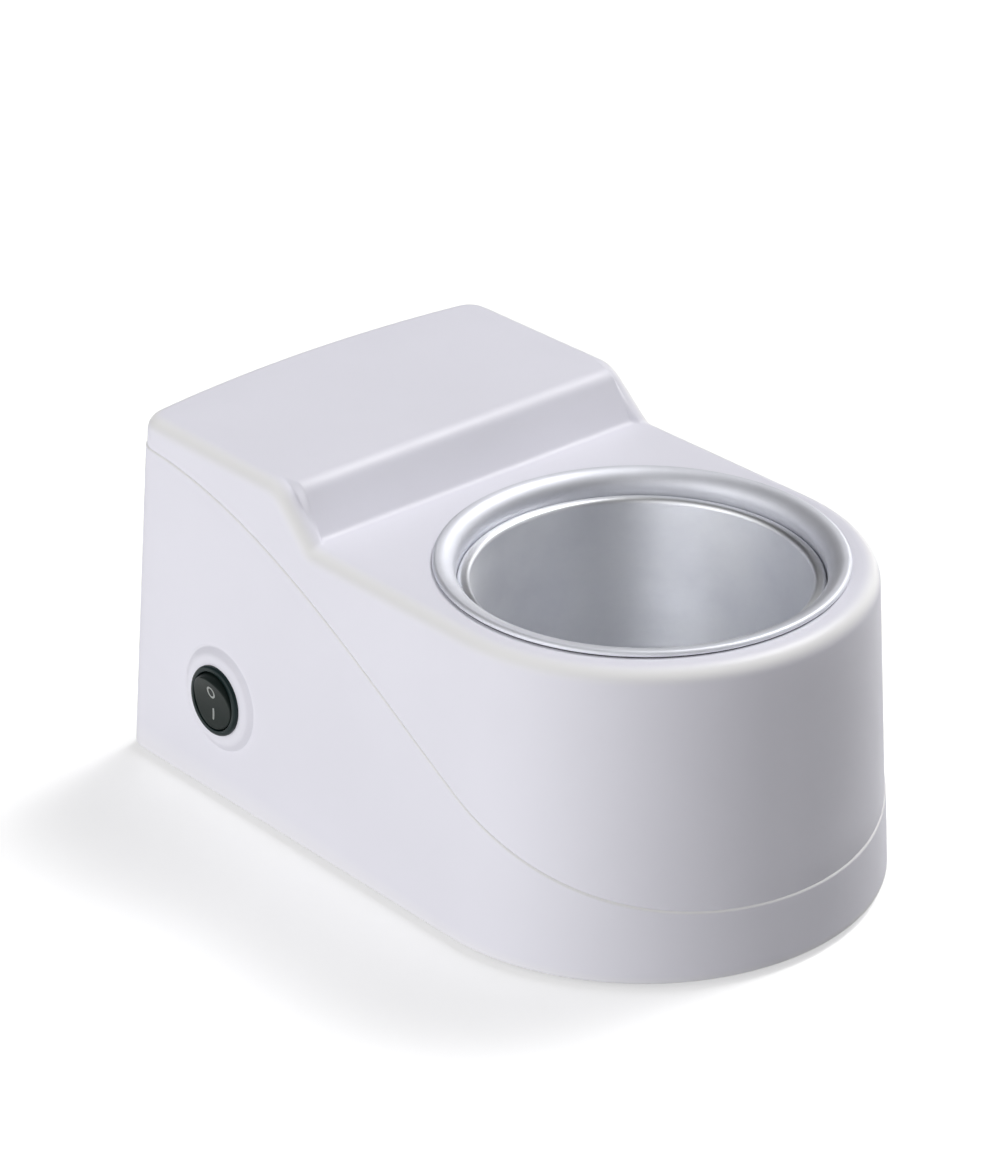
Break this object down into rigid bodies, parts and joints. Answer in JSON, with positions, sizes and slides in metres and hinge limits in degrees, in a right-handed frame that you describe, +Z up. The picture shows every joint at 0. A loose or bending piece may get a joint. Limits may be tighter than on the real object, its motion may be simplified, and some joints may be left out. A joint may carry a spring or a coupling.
{
  "type": "wax warmer pot",
  "caption": "Salon wax warmer: white moulded body with a round drum holding a lift-out aluminium pot, a taller console behind, a round rocker switch on the side and a mains inlet at the back.",
  "frame": {"origin": "on the plane the feet stand on, under the middle of the body's length, with x = 0 on the body's plane of symmetry", "axes": "+Z up, +Y from the pot's drum at the front to the console at the back, +X to the right as seen from the front of the drum; the switch is on the -X side"},
  "size_m": [0.1465, 0.232, 0.1115],
  "materials": {
    "white_gloss": "moulded gloss",
    "white_matt": "moulded, fine grain",
    "foot_rubber": "moulded",
    "gasket_rubber": "smooth silicone",
    "spun_aluminium": "spun and satin polished",
    "pot_aluminium": "matt anodised wall, polished lip",
    "bright_steel": "zinc plated",
    "strap_steel": "zinc plated strip",
    "band_steel": "heat tinted sheet",
    "terminal_brass": "plain",
    "pin_brass": "nickel flashed",
    "jacket_fibre": "woven glass fibre",
    "thermostat_black": "phenolic",
    "fuse_case": "drawn case",
    "switch_black": "moulded",
    "rocker_black": "moulded, printed marks",
    "inlet_black": "moulded",
    "wire_brown": "wire sleeve",
    "wire_white": "heat resisting wire sleeve",
    "wire_blue": "wire sleeve",
    "wire_green": "wire sleeve, green with a yellow stripe"
  },
  "bodies": {
    "warmer": {"band_nut": "bright_steel", "band_screw": "bright_steel", "base_plate": "white_matt", "base_screws": "bright_steel", "clamp_nut": "bright_steel", "clamp_yoke": "strap_steel", "earth_tag": "terminal_brass", "fuse_clip": "strap_steel", "heater_band": "band_steel", "heater_terminals": "terminal_brass", "heating_well": "spun_aluminium", "inlet_nuts": "bright_steel", "inlet_pins": "pin_brass", "inlet_screws": "bright_steel", "insulation_jacket": "jacket_fibre", "lower_housing": "white_gloss", "mains_inlet": "inlet_black", "rim_gasket": "gasket_rubber", "rubber_feet": "foot_rubber", "switch_body": "switch_black", "switch_terminals": "terminal_brass", "thermal_fuse": "fuse_case", "thermostat": "thermostat_black", "thermostat_terminals": "terminal_brass", "upper_housing": "white_gloss", "well_nuts": "bright_steel", "wire_earth": "wire_green", "wire_fuse": "wire_white", "wire_heater": "wire_white", "wire_live": "wire_brown", "wire_neutral": "wire_blue", "wire_switched": "wire_brown"},
    "pot": {"wax_pot": "pot_aluminium"},
    "rocker": {"switch_rocker": "rocker_black"}
  },
  "joints": [
    {"name": "rocker_tilt", "type": "hinge", "parent": "warmer", "child": "rocker", "pos_m": [-0.07094, 0.06291, 0.03427], "axis": [0, 1, 0], "range_deg": [0, 16]},
    {"name": "pot_lift", "type": "slide", "parent": "warmer", "child": "pot", "axis": [0, 0, 1], "range_m": [0, 0.1]}
  ]
}
